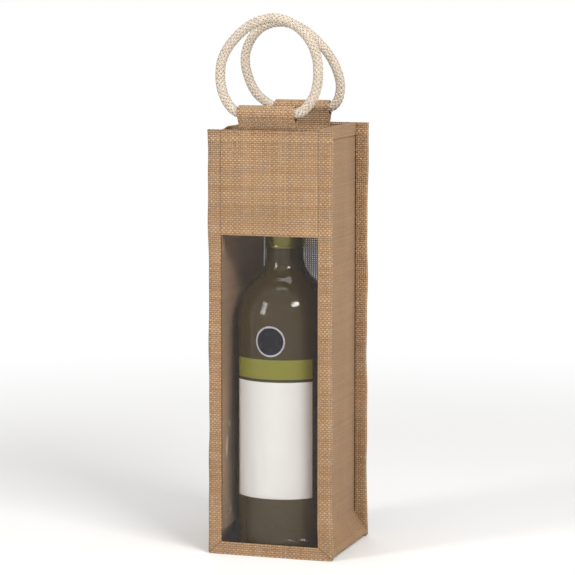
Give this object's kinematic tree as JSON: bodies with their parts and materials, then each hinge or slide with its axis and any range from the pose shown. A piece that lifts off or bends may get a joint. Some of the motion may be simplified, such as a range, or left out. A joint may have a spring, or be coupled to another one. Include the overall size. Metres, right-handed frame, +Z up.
{
  "type": "wine gift bag",
  "caption": "Upright jute gift bag for one wine bottle, with a clear front window, rope ring handles in sleeve tabs and a capped bottle inside.",
  "frame": {"origin": "middle of the bag's underside, where it stands", "axes": "+Z up the bag, -Y out of the window, +X to the right as the window is faced"},
  "size_m": [0.1061, 0.1086, 0.4164],
  "materials": {
    "jute": "coarse plain weave, natural tan",
    "gusset_cloth": "fine close plain weave, natural tan",
    "clear_film": "clear, glossy, lightly wrinkled",
    "rope": "braided undyed cotton",
    "tape": "woven cotton tape",
    "thread": "tan sewing thread",
    "bottle_glass": "dark antique green, glossy",
    "wine": "clear pale straw liquid",
    "cap_metal": "satin olive lacquer",
    "liner": "white foam",
    "label_paper": "uncoated white",
    "band_paper": "satin olive green",
    "medal_face": "dark glossy, blank",
    "medal_foil": "silver foil"
  },
  "bodies": {
    "bag": {"front_panel": "jute", "back_panel": "jute", "gusset": "gusset_cloth", "window_film": "clear_film", "front_handle_tab": "jute", "back_handle_tab": "jute", "front_seam_thread": "thread", "back_seam_thread": "thread", "hem_thread": "thread", "window_thread": "thread", "front_tab_thread": "thread", "back_tab_thread": "thread"},
    "front_handle": {"front_rope": "rope", "front_rope_joint": "tape"},
    "back_handle": {"back_rope": "rope", "back_rope_joint": "tape"},
    "bottle": {"bottle": "bottle_glass", "wine": "wine", "cap_skirt": "cap_metal", "front_label": "label_paper", "variety_band": "band_paper", "medal_disc": "medal_face", "medal_rim": "medal_foil"},
    "liner": {"cap_liner": "liner"},
    "cap": {"screw_cap": "cap_metal"}
  },
  "joints": [
    {"name": "front_handle_swing", "type": "hinge", "parent": "bag", "child": "front_handle", "pos_m": [0, -0.0485, 0.3413], "axis": [1, 0, 0], "range_deg": [-38, 145]},
    {"name": "back_handle_swing", "type": "hinge", "parent": "bag", "child": "back_handle", "pos_m": [0, 0.0485, 0.3413], "axis": [-1, 0, 0], "range_deg": [-38, 145]},
    {"name": "bottle_lift", "type": "slide", "parent": "bag", "child": "bottle", "axis": [0, 0.04, 0.9992], "range_m": [0, 0.44]},
    {"name": "cap_rise", "type": "slide", "parent": "bottle", "child": "liner", "axis": [0, 0, 1], "range_m": [0, 0.0048]},
    {"name": "cap_turn", "type": "hinge", "parent": "liner", "child": "cap", "pos_m": [0, -0.01045, 0.28], "axis": [0, 0, 1], "range_deg": [0, 540]}
  ],
  "couplings": [
    {"joint": "cap_rise", "follows": "cap_turn", "m_per_rad": 0.000509}
  ]
}
